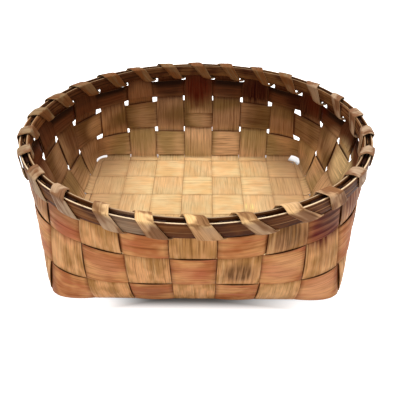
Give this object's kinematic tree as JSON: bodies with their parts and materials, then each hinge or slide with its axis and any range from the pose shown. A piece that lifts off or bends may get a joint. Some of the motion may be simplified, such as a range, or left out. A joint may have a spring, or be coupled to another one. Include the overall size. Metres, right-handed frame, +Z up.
{
  "type": "woven splint basket",
  "caption": "Low open basket of flat wood splints: square woven base, wall flaring to an oval rim of bent hoops lashed with splint, no handle.",
  "frame": {"origin": "on the ground, under the middle of the base", "axes": "+X along the longer side of the base, +Y from the front side to the back side, +Z up"},
  "size_m": [0.3458, 0.3082, 0.1272],
  "materials": {
    "stake_splint": "satin aged splint, golden tan",
    "weaver_splint": "satin aged splint, reddish brown",
    "hoop_wood": "dark stained, satin",
    "filler_wood": "pale cut splint, matte",
    "lashing_splint": "worn grey-tan splint, satin"
  },
  "bodies": {
    "root": {"cross_stake_1": "stake_splint", "cross_stake_2": "stake_splint", "cross_stake_3": "stake_splint", "cross_stake_4": "stake_splint", "cross_stake_5": "stake_splint", "cross_stake_6": "stake_splint", "cross_stake_7": "stake_splint", "long_stake_1": "stake_splint", "long_stake_2": "stake_splint", "long_stake_3": "stake_splint", "long_stake_4": "stake_splint", "long_stake_5": "stake_splint", "long_stake_6": "stake_splint", "foot_weaver": "weaver_splint", "lower_weaver": "weaver_splint", "middle_weaver": "weaver_splint", "upper_weaver": "weaver_splint", "rim_hoop_inner": "hoop_wood", "rim_hoop_outer": "hoop_wood", "rim_filler": "filler_wood", "rim_lashing": "lashing_splint"}
  },
  "joints": []
}
